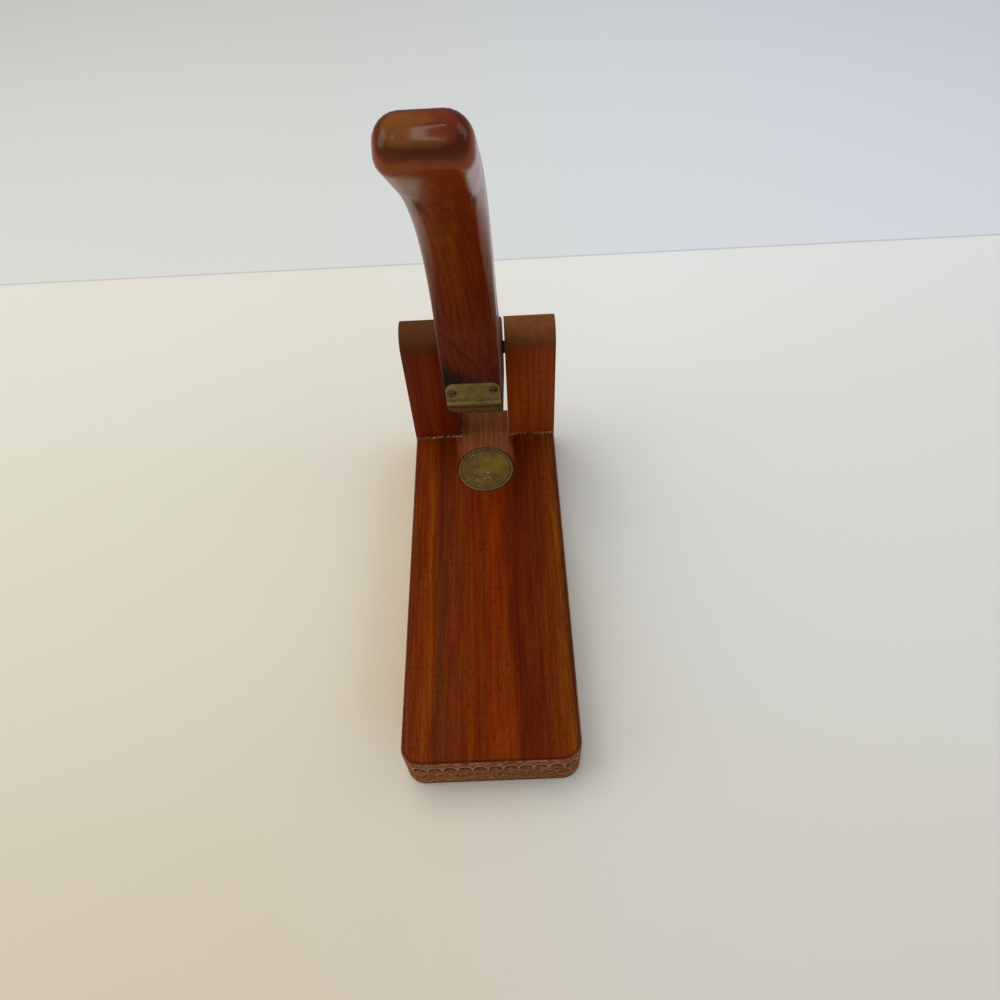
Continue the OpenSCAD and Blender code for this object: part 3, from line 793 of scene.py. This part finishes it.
class PRESS_OT_cheeks(bpy.types.Operator):
    """Makes the two upright cheeks, with half-round tops and worn arrises"""

    bl_idname = "press.cheeks"
    bl_label = "Cheeks"

    def execute(self, context):
        wood = cheek_wood()
        for node in ("left_cheek", "right_cheek"):
            low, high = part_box(node)
            piece = bar(f"{node}_post", low, high)
            bpy.ops.object.mode_set(mode="EDIT")
            # The radius is a hair under half the depth, so that the two rounded edges don't meet.
            radius = (high.y - low.y) / 2 * 0.9999
            round_edges(piece, radius, 28, lambda e: along(e, 0) and middle(e).z > high.z - NEAR)
            bpy.ops.object.mode_set(mode="OBJECT")
            ease(piece, context.scene.press_board.cheek_arris, 3, 40)
            centre = ((low.x + high.x) / 2, PIVOT.y, PIVOT.z)
            cut(piece, rod("bore", centre, CHEEK_BORE, 0.04, "X", 64))
            for screw in ("lower", "upper"):
                screw_low, screw_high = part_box(f"{node}_screw_{screw}")
                x, _, z = (screw_low + screw_high) / 2
                head_radius, head_gap = (screw_high.x - screw_low.x) / 2, 0.25 * MM
                seat = (x, screw_high.y - 0.85 * MM, z)
                countersink(piece, seat, SCREW_HOLE, head_radius + head_gap, 2.1 * MM, -math.pi / 2)
                cut(piece, rod("screw_hole", (x, screw_high.y - 0.01, z), SCREW_HOLE, 0.022, "Y", 48))
            smooth(piece, 35)
            wear(piece, wood)
            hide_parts(node)
        return {"FINISHED"}


# ---------------------------------------------------------------- the lever


def arc(centre, radius, start, end, steps):
    """Points along an arc in the side view, its angles in degrees."""
    return [centre + radius * at_angle(start + (end - start) * i / steps) for i in range(steps + 1)]


def easy_curve(p0, p1, p2, p3, steps):
    """Points along a cubic curve that leaves p0 towards p1 and reaches p3 from p2."""
    shares = [(i / steps, 1 - i / steps) for i in range(steps + 1)]
    return [s**3 * p0 + 3 * s * s * t * p1 + 3 * s * t * t * p2 + t**3 * p3 for t, s in shares]


def at_angle(degrees):
    a = math.radians(degrees)
    return Vector((math.cos(a), math.sin(a)))


def lever_sides(lever):
    """The lever's side view as two lines of matching points, its back and its front,
    from the eye up to the handle's end. The pivot is at 0, and the numbers run backwards and upwards."""
    bend = math.degrees(lever.curve_angle)
    centre = Vector((-lever.nose_reach - lever.curve_radius, lever.curve_start))
    curve_end = centre + lever.curve_radius * at_angle(bend)
    onward, outward = at_angle(bend + 90), at_angle(bend)
    front_end = curve_end + lever.tip_length * onward
    back_end = front_end + lever.tip_thickness * outward
    end_front, end_back = 7 * MM, 5.5 * MM
    face = lever.curve_radius * lever.curve_angle + lever.tip_length

    def thickness(run):
        return lever.grip_thickness + (lever.tip_thickness - lever.grip_thickness) * run / (face - end_back)

    curve_steps, tip_steps = 27, 8
    curve_front = arc(centre, lever.curve_radius, 0, bend, curve_steps)[1:]
    curve_back = [
        centre + (lever.curve_radius + thickness(lever.curve_radius * lever.curve_angle * i / curve_steps))
        * at_angle(bend * i / curve_steps) for i in range(curve_steps + 1)]
    runs = [(lever.tip_length - end_front) * i / (tip_steps + 1) for i in range(1, tip_steps + 1)]
    tip_front = [curve_end + run * onward for run in runs]
    tip_back = [curve_end + run * onward + thickness(face - lever.tip_length + run) * outward for run in runs]
    dome = 8
    back_corner = arc(back_end - end_back * (outward + onward), end_back, bend, bend + 90 - dome, 12)
    front_corner = arc(
        front_end + end_front * (outward - onward), end_front, bend + 180, bend + 90 + dome, 12)

    ridge = Vector((-lever.nose_reach, lever.ridge_height))
    down = at_angle(PRESS_WAY)
    press_end = ridge + STRIP_PRESS * down
    under_stop = lever.eye_radius * at_angle(-115)
    under = (under_stop - press_end).normalized()
    heel = easy_curve(press_end - 3 * MM * down, press_end, press_end, press_end + 3 * MM * under, 8)
    underside = easy_curve(
        press_end + 3 * MM * under, press_end + 16 * MM * under,
        under_stop - 16 * MM * at_angle(-25), under_stop, 14)
    face_points = [
        Vector((-lever.nose_reach, lever.curve_start + (lever.ridge_height - lever.curve_start) * i / 12))
        for i in range(13)]
    press_points = [ridge + 13 * MM * down * i / 4 for i in range(1, 4)]
    front_nose = face_points + press_points + heel + underside[1:-1]

    # The back of the neck has a point for each point of the nose.
    start = lever.eye_radius * at_angle(68)
    first, second = curve_back[round(curve_steps / 9)], curve_back[round(2 * curve_steps / 9)]
    rise = (second - first).normalized()
    count = len(front_nose) + round(curve_steps / 9)
    neck = easy_curve(start, start + 24 * MM * at_angle(158), first - 26 * MM * rise, first, count)

    split = (-115 + 68) / 2
    eye_steps = 18
    eye_step = (68 - split) / (eye_steps + 0.5)
    eye_upper = [lever.eye_radius * at_angle(split + (i + 0.5) * eye_step) for i in range(eye_steps + 1)]
    eye_lower = [lever.eye_radius * at_angle(split - (i + 0.5) * eye_step) for i in range(eye_steps + 1)]

    back = eye_upper + neck[1:] + curve_back[round(curve_steps / 9) + 1:] + tip_back + back_corner
    front = eye_lower + front_nose[::-1] + curve_front + tip_front + front_corner
    return back, front


def section(back, front, width, back_arris, front_arris, steps):
    """A ring of points round the lever: a rectangle from its back to its front, with rounded corners."""
    depth = (front - back).length
    way = (front - back).normalized()
    ring = []
    for side, edge, radius, rising in ((1, 0.0, back_arris, True), (1, depth, front_arris, False),
                                       (-1, depth, front_arris, True), (-1, 0.0, back_arris, False)):
        radius = min(radius, depth * 0.49)
        inward = 1 if edge == 0.0 else -1
        for i in range(steps + 1):
            turn = math.pi / 2 * (i if rising else steps - i) / steps
            across = side * (width / 2 - radius * (1 - math.sin(turn)))
            point = back + way * (edge + inward * radius * (1 - math.cos(turn)))
            ring.append(Vector((across, *point)))
    return ring


class PRESS_OT_lever(bpy.types.Operator):
    """Makes the bent lever by drawing one rounded section out along its side view"""

    bl_idname = "press.lever"
    bl_label = "Lever"

    def execute(self, context):
        lever = context.scene.press_lever
        backs, fronts = lever_sides(lever)
        if len(backs) != len(fronts):
            raise RuntimeError(f"the lever's back has {len(backs)} points and its front {len(fronts)}")

        def swell(height, full):
            """The rounding at a height above the pivot, which grows from the neck's to its full size."""
            f = min(1.0, max(0.0, (height - 0.045) / 0.070))
            return lever.neck_arris + (full - lever.neck_arris) * f * f * (3 - 2 * f)

        steps, eye_rings, end_rings = 6, 3, 13
        rings = []
        for index, (back, front) in enumerate(zip(backs, fronts)):
            full_back = swell(back.y, lever.back_arris)
            full_front = swell(front.y, lever.front_arris)
            last = len(backs) - 1 - index
            width = lever.width
            if last < end_rings:
                # Round the handle's end the whole section draws in, as a filed end does.
                turn = (end_rings - last) / end_rings * math.pi / 2
                width -= (lever.front_arris + lever.back_arris) * 0.85 * (1 - math.cos(turn))
            if index < eye_rings:
                width -= (eye_rings - index) ** 2 * 0.1 * MM
            rings.append(section(back, front, width, full_back, full_front, steps))

        piece = drawn_out("bent_lever", rings)
        # The strip's room is 0.05 mm wider than the lever at each side, which keeps the cut clean.
        half = lever.width / 2 + 0.05 * MM
        room = across_lever("shoe_rebate", strip_outline(lever, 0.05 * MM, 0.3 * MM, MM), 2 * half)
        for side in (-1, 1):
            round_corner(room, side * half, lever.ridge_height + 13 * MM, 1, 4.3 * MM)
        cut(piece, room)
        stand(piece, lever)
        cut(piece, rod("bore", PIVOT, LEVER_BORE, 0.05, "X", 64))
        smooth(piece, 40)
        wear(piece, polished_lever_wood(), "lever")
        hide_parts("lever")
        return {"FINISHED"}


def drawn_out(name, rings):
    """A closed body through a row of rings of points, each drawn out from the one before."""
    select_none()
    bpy.ops.mesh.primitive_circle_add(vertices=len(rings[0]), radius=0.01, fill_type="NGON")
    piece = named(name)
    bpy.ops.object.mode_set(mode="EDIT")
    bpy.ops.mesh.select_mode(type="VERT")
    for ring in rings:
        if ring is not rings[0]:
            bpy.ops.mesh.extrude_region_move(TRANSFORM_OT_translate={"value": (0, 0, 1e-4)})
        mesh = bmesh.from_edit_mesh(piece.data)
        mesh.verts.ensure_lookup_table()
        for vert, point in zip(mesh.verts[len(mesh.verts) - len(ring):], ring):
            vert.co = point
        bmesh.update_edit_mesh(piece.data)
    bpy.ops.mesh.select_all(action="SELECT")
    bpy.ops.mesh.normals_make_consistent(inside=False)
    bpy.ops.object.mode_set(mode="OBJECT")
    return piece


def across_lever(name, outline, width):
    """A body with one side view all across the lever."""
    return drawn_out(name, [[Vector((x, *point)) for point in outline] for x in (-width / 2, width / 2)])


def stand(piece, lever):
    """Puts a piece made about the pivot in its place, with the lever's small skew and lean."""
    turn = Matrix.Rotation(-lever.skew, 4, "Z") @ Matrix.Rotation(-lever.lean, 4, "Y")
    piece.matrix_world = Matrix.Translation(PIVOT) @ turn
    place_in_mesh(piece)


def round_corner(piece, x, above, below, radius):
    """Rounds a strip's corner: its edge at x, between two heights."""
    near = 0.01 * MM
    bpy.ops.object.mode_set(mode="EDIT")
    round_edges(piece, radius, 8, lambda e: all(
        abs(v.co.x - x) < near and above - near < v.co.z < below for v in e.verts))
    bpy.ops.object.mode_set(mode="OBJECT")


def strip_outline(lever, gap, top_gap, extra):
    """The brass strip's side view grown by a gap, and past the wood by extra for the room it is let into."""
    ridge = Vector((-lever.nose_reach, lever.ridge_height))
    down, out, rise = at_angle(PRESS_WAY), at_angle(PRESS_WAY - 90), math.tan(math.radians(15))
    inner = STRIP_THICK + gap
    radius = 5 * MM
    centre = ridge + radius * Vector((1, rise))
    top = lever.ridge_height + STRIP_RISE + top_gap
    low = ridge + (STRIP_PRESS + gap) * down
    points = [Vector((-lever.nose_reach - extra, top)), Vector((-lever.nose_reach + inner, top))]
    points += arc(centre, radius - inner, 180, 210, 6)
    points += [low - inner * out, low + extra * out]
    if extra:
        return points + [ridge - extra * Vector((1, rise))]
    return points + arc(centre, radius, 210, 180, 6)


# ---------------------------------------------------------------- brass, steel and glue


class PRESS_OT_brass(bpy.types.Operator):
    """Makes the brass shoe of the lever and the brass disc of the board"""

    bl_idname = "press.brass"
    bl_label = "Brass shoe and disc"

    def execute(self, context):
        lever, look = context.scene.press_lever, context.scene.press_finish
        ridge = lever.ridge_height
        shoe = across_lever("brass_shoe", strip_outline(lever, 0.0, 0.0, 0.0), 2 * STRIP_HALF)
        top, low = ridge + STRIP_RISE, ridge - 12 * MM
        for side, above, below, radius in (
                (-1, top, 1, 3.9), (1, top, 1, 3.9), (-1, -1, low, 8.5), (1, -1, low, 2.5)):
            round_corner(shoe, side * STRIP_HALF, above, below, radius * MM)
        for side, up in ((-1, 7.0), (1, 8.4)):
            seat = (side * (STRIP_HALF - 2.85 * MM), -lever.nose_reach + 0.6 * MM, ridge + up * MM)
            countersink(shoe, seat, 0.9 * MM, 2.25 * MM, 1.35 * MM, math.pi / 2)
        ease(shoe, 0.25 * MM, 2, 40)
        stand(shoe, lever)
        smooth(shoe, 35)
        brass = old_brass("tarnished brass strip", "#6a5628", look.shoe, 0.42, shoe_marks)
        wear(shoe, brass, "lever")
        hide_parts("lever_shoe")

        top = DISC_HIGH.z
        disc = rod("brass_disc", DISC_CENTRE, DISC_RADIUS, top - DISC_LOW.z, sides=128)
        bpy.ops.object.mode_set(mode="EDIT")
        pick(disc, "faces", lambda f: f.normal.z > 0.9)
        # The raised rim, the step down inside it, and the rings of the flat face.
        for thickness, depth in ((1.1, 0), (0.35, -0.25), (1.0, 0), (1.75, 0), (2.5, 0)):
            bpy.ops.mesh.inset(thickness=thickness * MM, depth=depth * MM)
        outer = DISC_RADIUS - 0.01 * MM
        round_edges(disc, 0.3 * MM, 3, lambda e: all(
            abs(v.co.z - top) < NEAR and (v.co.xy - DISC_CENTRE.xy).length > outer for v in e.verts))
        bpy.ops.object.mode_set(mode="OBJECT")
        smooth(disc, 40)
        brass = old_brass("worn brass disc", "#6e502a", look.disc, 0.44, disc_marks)
        wear(disc, brass)
        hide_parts("anvil_disc")
        return {"FINISHED"}


class PRESS_OT_steel(bpy.types.Operator):
    """Gives the pin and the screws their old steel"""

    bl_idname = "press.steel"
    bl_label = "Pin and screws"

    def execute(self, context):
        pin = dark_steel("oiled dark steel pin", "#4a443e")
        screw = dark_steel("browned steel screws", context.scene.press_finish.screws)
        for node, piece in frame["nodes"].items():
            if node == "pivot_pin" or "screw" in node:
                piece.data.materials.clear()
                piece.data.materials.append(pin if node == "pivot_pin" else screw)
        return {"FINISHED"}


class PRESS_OT_glue(bpy.types.Operator):
    """Makes the crumbs of glue along the joints between the cheeks and the board"""

    bl_idname = "press.glue"
    bl_label = "Glue crumbs"

    def execute(self, context):
        rng = random.Random(11)
        glue = crumbled_glue()
        for node, side in (("left_cheek", -1), ("right_cheek", 1)):
            low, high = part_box(node)
            inner = min(abs(low.x), abs(high.x))
            outer = max(abs(low.x), abs(high.x))
            select_none()
            bpy.ops.mesh.primitive_ico_sphere_add(subdivisions=2, radius=0.5 * MM)
            crumb = named("crumb")
            crumbs = []
            spots = []
            heaps = [rng.random() for _ in range(20)]
            # Most lie in heaps along the front of the joint, and some along its inner side.
            for _ in range(220):
                share = min(1.0, max(0.0, rng.choice(heaps) + rng.gauss(0, 0.035)))
                along_joint = (outer - inner - 0.8 * MM) * share
                spots.append((inner + along_joint, low.y - 1.4 * MM * rng.random() ** 2))
            for _ in range(26):
                spots.append((inner - 0.4 * MM * rng.random(), low.y + 8 * MM * rng.random() ** 2))
            for x, y in spots:
                one = crumb.copy()
                one.data = crumb.data.copy()
                context.scene.collection.objects.link(one)
                size = rng.uniform(0.2, 0.65)
                one.scale = (
                    size * rng.uniform(0.8, 1.9), size * rng.uniform(0.7, 1.1), size * rng.uniform(0.5, 1.0))
                one.rotation_euler = (rng.uniform(-0.4, 0.4), rng.uniform(-0.3, 0.3), rng.uniform(-0.4, 0.4))
                one.location = (side * x, y, BASE_HIGH.z)
                crumbs.append(one)
            bpy.data.objects.remove(crumb)
            piece = join(crumbs, f"glue_crumbs_{'left' if side < 0 else 'right'}")
            place_in_mesh(piece)
            smooth(piece, 60)
            wear(piece, glue)
        return {"FINISHED"}


# ---------------------------------------------------------------- stage


class PRESS_OT_stage(bpy.types.Operator):
    """Sets the pale table top, the soft lights and the camera"""

    bl_idname = "press.stage"
    bl_label = "Table, lights and camera"

    def execute(self, context):
        select_none()
        bpy.ops.mesh.primitive_plane_add(size=6, location=(0, 0, -0.0001))
        table = named("table_top")
        place_in_mesh(table)
        table.data.materials.append(table_and_wall())

        world = bpy.data.worlds.new("plain room")
        context.scene.world = world
        world.use_nodes = True
        tree = world.node_tree
        tree.nodes.clear()
        lit, dim, seen = [
            add(tree, "ShaderNodeBackground", {"Color": tone(colour), "Strength": strength}).outputs[0]
            for colour, strength in (((0.86, 0.91, 1.0), 0.62), ((0.90, 0.95, 1.0), 0.22), ("#dfe2e2", 1.0))]
        path = add(tree, "ShaderNodeLightPath").outputs
        # The far side of the room, which the varnish mirrors, is dimmer than the window side.
        room = add(tree, "ShaderNodeMixShader", {0: path["Is Glossy Ray"], 1: lit, 2: dim}).outputs[0]
        room = add(tree, "ShaderNodeMixShader", {0: path["Is Camera Ray"], 1: room, 2: seen}).outputs[0]
        add(tree, "ShaderNodeOutputWorld", {"Surface": room})

        # The last two are far lamps behind the viewer, which show as spots on the handle's end.
        target = Vector((0, 0.05, 0.08))
        for name, spot, size, power, colour in (
                ("ceiling_panel", (-0.35, 0.25, 1.25), (1.1, 0.9), 9.0, (1.0, 0.97, 0.92)),
                ("window_left", (-1.2, -0.2, 0.7), (0.8, 0.9), 4.0, (1.0, 0.98, 0.95)),
                ("window_right", (1.2, 0.1, 0.8), (0.6, 0.9), 2.5, (0.93, 0.96, 1.0)),
                ("lamp_behind", (-0.070, -0.885, 1.480), (0.15, 0.8), 1.6, (1.0, 0.99, 0.98)),
                ("lamp_far", (-0.420, -0.965, 1.353), (0.14, 0.3), 0.25, (0.8, 0.9, 1.0))):
            bpy.ops.object.light_add(type="AREA", location=spot)
            lamp = bpy.context.object
            lamp.name = lamp.data.name = name
            lamp.data.shape = "RECTANGLE"
            lamp.data.size, lamp.data.size_y = size
            lamp.data.energy = power
            lamp.data.color = colour
            lamp.visible_glossy = name != "ceiling_panel"
            lamp.rotation_euler = (target - Vector(spot)).to_track_quat("-Z", "Y").to_euler()

        # The camera stands where the photograph's lines say, just above and in front of the press.
        spot = (0.013497, -0.197017, 0.336443)
        pitch, yaw, roll = 0.930197, 0.0276730, -0.0673596
        flat = math.cos(pitch)
        forward = Vector((-math.sin(yaw) * flat, math.cos(yaw) * flat, -math.sin(pitch)))
        level = Vector((math.cos(yaw), math.sin(yaw), 0))
        upright = level.cross(forward)
        right = math.cos(roll) * level + math.sin(roll) * upright
        up = math.cos(roll) * upright - math.sin(roll) * level
        data = bpy.data.cameras.new("camera")
        camera = bpy.data.objects.new("camera", data)
        context.scene.collection.objects.link(camera)
        data.sensor_width = 36
        data.lens = 27
        data.clip_start = 0.01
        turn = Matrix((right, up, -forward)).transposed().to_4x4()
        camera.matrix_world = Matrix.Translation(spot) @ turn
        context.scene.camera = camera
        context.scene.view_settings.view_transform = "Standard"
        return {"FINISHED"}


# ---------------------------------------------------------------- panel and registration

STEPS = (
    PRESS_OT_stage, PRESS_OT_board, PRESS_OT_cheeks, PRESS_OT_lever, PRESS_OT_brass,
    PRESS_OT_steel, PRESS_OT_glue)


class PRESS_PT_panel(bpy.types.Panel):
    """Lists the pieces of the press and their sizes and colours"""

    bl_label = "Nutcracker press"
    bl_idname = "PRESS_PT_panel"
    bl_space_type = "VIEW_3D"
    bl_region_type = "UI"
    bl_category = "Nutcracker"

    def draw(self, context):
        for step in STEPS:
            self.layout.operator(step.bl_idname)
        scene = context.scene
        for group in (scene.press_board, scene.press_lever, scene.press_finish):
            box = self.layout.box()
            for name in group.bl_rna.properties.keys():
                if name not in ("rna_type", "name"):
                    box.prop(group, name)


CLASSES = (PressBoardSettings, PressLeverSettings, PressFinishSettings, *STEPS, PRESS_PT_panel)


def register():
    for cls in CLASSES:
        bpy.utils.register_class(cls)
    bpy.types.Scene.press_board = bpy.props.PointerProperty(type=PressBoardSettings)
    bpy.types.Scene.press_lever = bpy.props.PointerProperty(type=PressLeverSettings)
    bpy.types.Scene.press_finish = bpy.props.PointerProperty(type=PressFinishSettings)


def unregister():
    for name in ("press_board", "press_lever", "press_finish"):
        delattr(bpy.types.Scene, name)
    for cls in reversed(CLASSES):
        bpy.utils.unregister_class(cls)


def main():
    register()
    bpy.ops.press.stage()
    bpy.ops.press.board()
    bpy.ops.press.cheeks()
    bpy.ops.press.lever()
    bpy.ops.press.brass()
    bpy.ops.press.steel()
    bpy.ops.press.glue()
    select_none()


if __name__ == "__main__":
    main()
